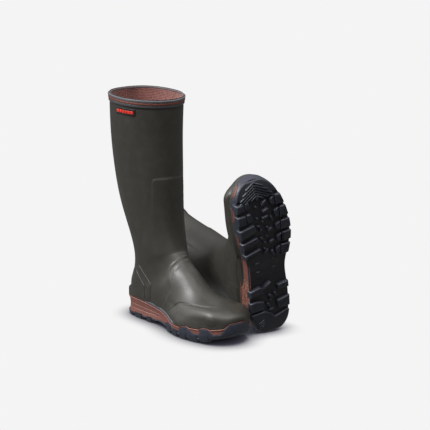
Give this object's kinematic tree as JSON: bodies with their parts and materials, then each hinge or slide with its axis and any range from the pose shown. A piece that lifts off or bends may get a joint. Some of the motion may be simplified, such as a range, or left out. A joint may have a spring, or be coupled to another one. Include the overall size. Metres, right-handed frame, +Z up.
{
  "type": "insulated hunting boots",
  "caption": "Pair of tall insulated rubber boots with a lugged sole and knit lining: the right one stands, the left one lies on its back with its tread showing.",
  "frame": {"origin": "on the floor under the middle of the pair's bounding box", "axes": "+X the way the standing right boot's toe points, +Y towards its inner side and the lying left boot, +Z up"},
  "size_m": [0.4482, 0.2805, 0.4159],
  "materials": {
    "rubber": "satin dark olive natural rubber",
    "binding": "satin grey rubber binding",
    "stripe": "satin russet rubber stripe",
    "badge": "matte black rubber patch",
    "mark": "satin red raised bar",
    "tread": "matte navy-black tread rubber",
    "midsole": "matte brick-brown moulded midsole",
    "lining": "terracotta knitted mesh",
    "foam": "closed-cell insulating foam",
    "board": "pressed fibre board",
    "footbed": "foam footbed with a fabric face",
    "cushion": "soft heel foam",
    "steel": "plain spring steel"
  },
  "bodies": {
    "right_boot": {"right_rubber_shell": "rubber", "right_vamp_saddle": "rubber", "right_toe_cap": "rubber", "right_heel_counter": "rubber", "right_shin_guard": "rubber", "right_heel_spur": "tread", "right_heel_stiffener": "board", "right_toe_stiffener": "board", "right_insole_board": "board", "right_shank": "steel", "right_insulation": "foam", "right_lining": "lining", "right_footbed": "footbed", "right_rim_bead": "binding", "right_rim_stripe": "stripe", "right_rim_band": "binding", "right_badge": "badge", "right_badge_bar": "mark", "right_outsole": "tread", "right_midsole": "midsole", "right_heel_cushion": "cushion"},
    "left_boot": {"left_rubber_shell": "rubber", "left_vamp_saddle": "rubber", "left_toe_cap": "rubber", "left_heel_counter": "rubber", "left_shin_guard": "rubber", "left_heel_spur": "tread", "left_heel_stiffener": "board", "left_toe_stiffener": "board", "left_insole_board": "board", "left_shank": "steel", "left_insulation": "foam", "left_lining": "lining", "left_footbed": "footbed", "left_rim_bead": "binding", "left_rim_stripe": "stripe", "left_rim_band": "binding", "left_badge": "badge", "left_badge_bar": "mark", "left_outsole": "tread", "left_midsole": "midsole", "left_heel_cushion": "cushion"}
  },
  "joints": [
    {"name": "left_boot_stand_up", "type": "hinge", "parent": "right_boot", "child": "left_boot", "pos_m": [0.1924, 0.0218, 0], "axis": [0.1587, 0.9873, -0.0013], "range_deg": [0, 81.9]}
  ]
}
